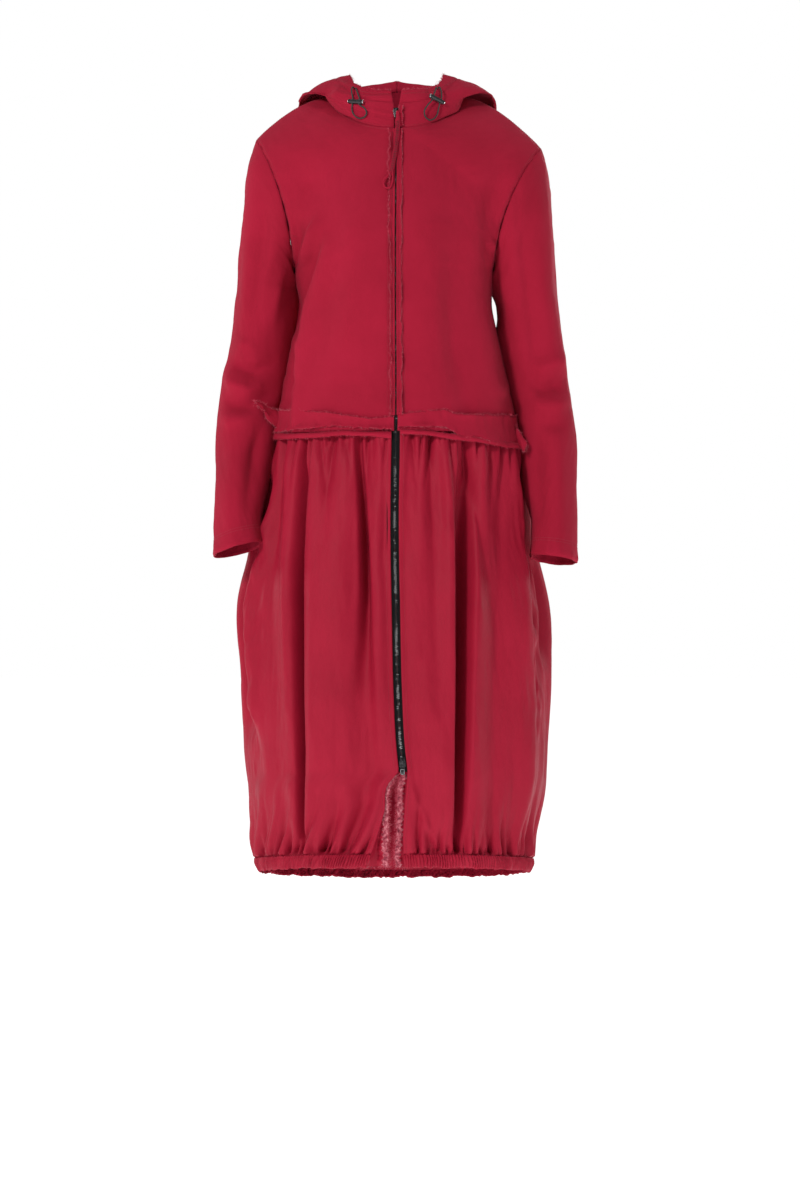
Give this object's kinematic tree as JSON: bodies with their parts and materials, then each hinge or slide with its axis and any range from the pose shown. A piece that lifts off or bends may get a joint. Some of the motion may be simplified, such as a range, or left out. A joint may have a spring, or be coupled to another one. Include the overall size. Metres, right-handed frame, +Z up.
{
  "type": "hooded jacket dress",
  "caption": "Red hooded zip-front jacket dress, worn and hollow: jersey bodice, long sleeves, hood lying down, dropped waist bands and a gathered skirt with elastic hem.",
  "frame": {"origin": "centre of the neck opening at the level where the dress hangs on the wearer's shoulders", "axes": "+Z up along the dress, -Y towards the front with the zip, +X towards the wearer's left"},
  "size_m": [0.5049, 0.3571, 1.1364],
  "materials": {
    "jersey": "matte brushed red sweatshirt jersey, raw edges left to fray",
    "woven_cloth": "crisp light red plain weave with a slight sheen",
    "zip_tape": "black woven zip tape",
    "black_metal": "black zip metal, worn silver on the edges",
    "black_plastic": "black moulded cord lock",
    "elastic_cord": "black braided elastic cord"
  },
  "bodies": {
    "dress": {"bodice_back": "jersey", "bodice_front_left": "jersey", "bodice_front_right": "jersey", "sleeve_left": "jersey", "sleeve_right": "jersey", "hood_left": "jersey", "hood_right": "jersey", "waist_band_lower_back": "jersey", "waist_band_lower_left": "jersey", "waist_band_lower_right": "jersey", "waist_band_upper_back": "jersey", "waist_band_upper_left": "jersey", "waist_band_upper_right": "jersey", "placket_strip": "jersey", "zip_pull_loop": "jersey", "skirt_front_left": "woven_cloth", "skirt_front_right": "woven_cloth", "skirt_back": "woven_cloth", "hem_casing_left": "woven_cloth", "hem_casing_right": "woven_cloth", "hem_casing_back": "woven_cloth", "slit_facing_left": "woven_cloth", "slit_facing_right": "woven_cloth", "zip_tape_left": "zip_tape", "zip_tape_right": "zip_tape", "zip_chain": "black_metal", "slider_top": "black_metal", "slider_bottom": "black_metal", "cord_lock_left": "black_plastic", "cord_lock_right": "black_plastic", "drawcord_left": "elastic_cord", "drawcord_right": "elastic_cord"},
    "pull_tab": {"pull_tab": "black_metal"}
  },
  "joints": [
    {"name": "pull_tab", "type": "hinge", "parent": "dress", "child": "pull_tab", "pos_m": [0.00755, -0.17227, -0.9208], "axis": [-1, 0, 0], "range_deg": [0, 160]}
  ]
}
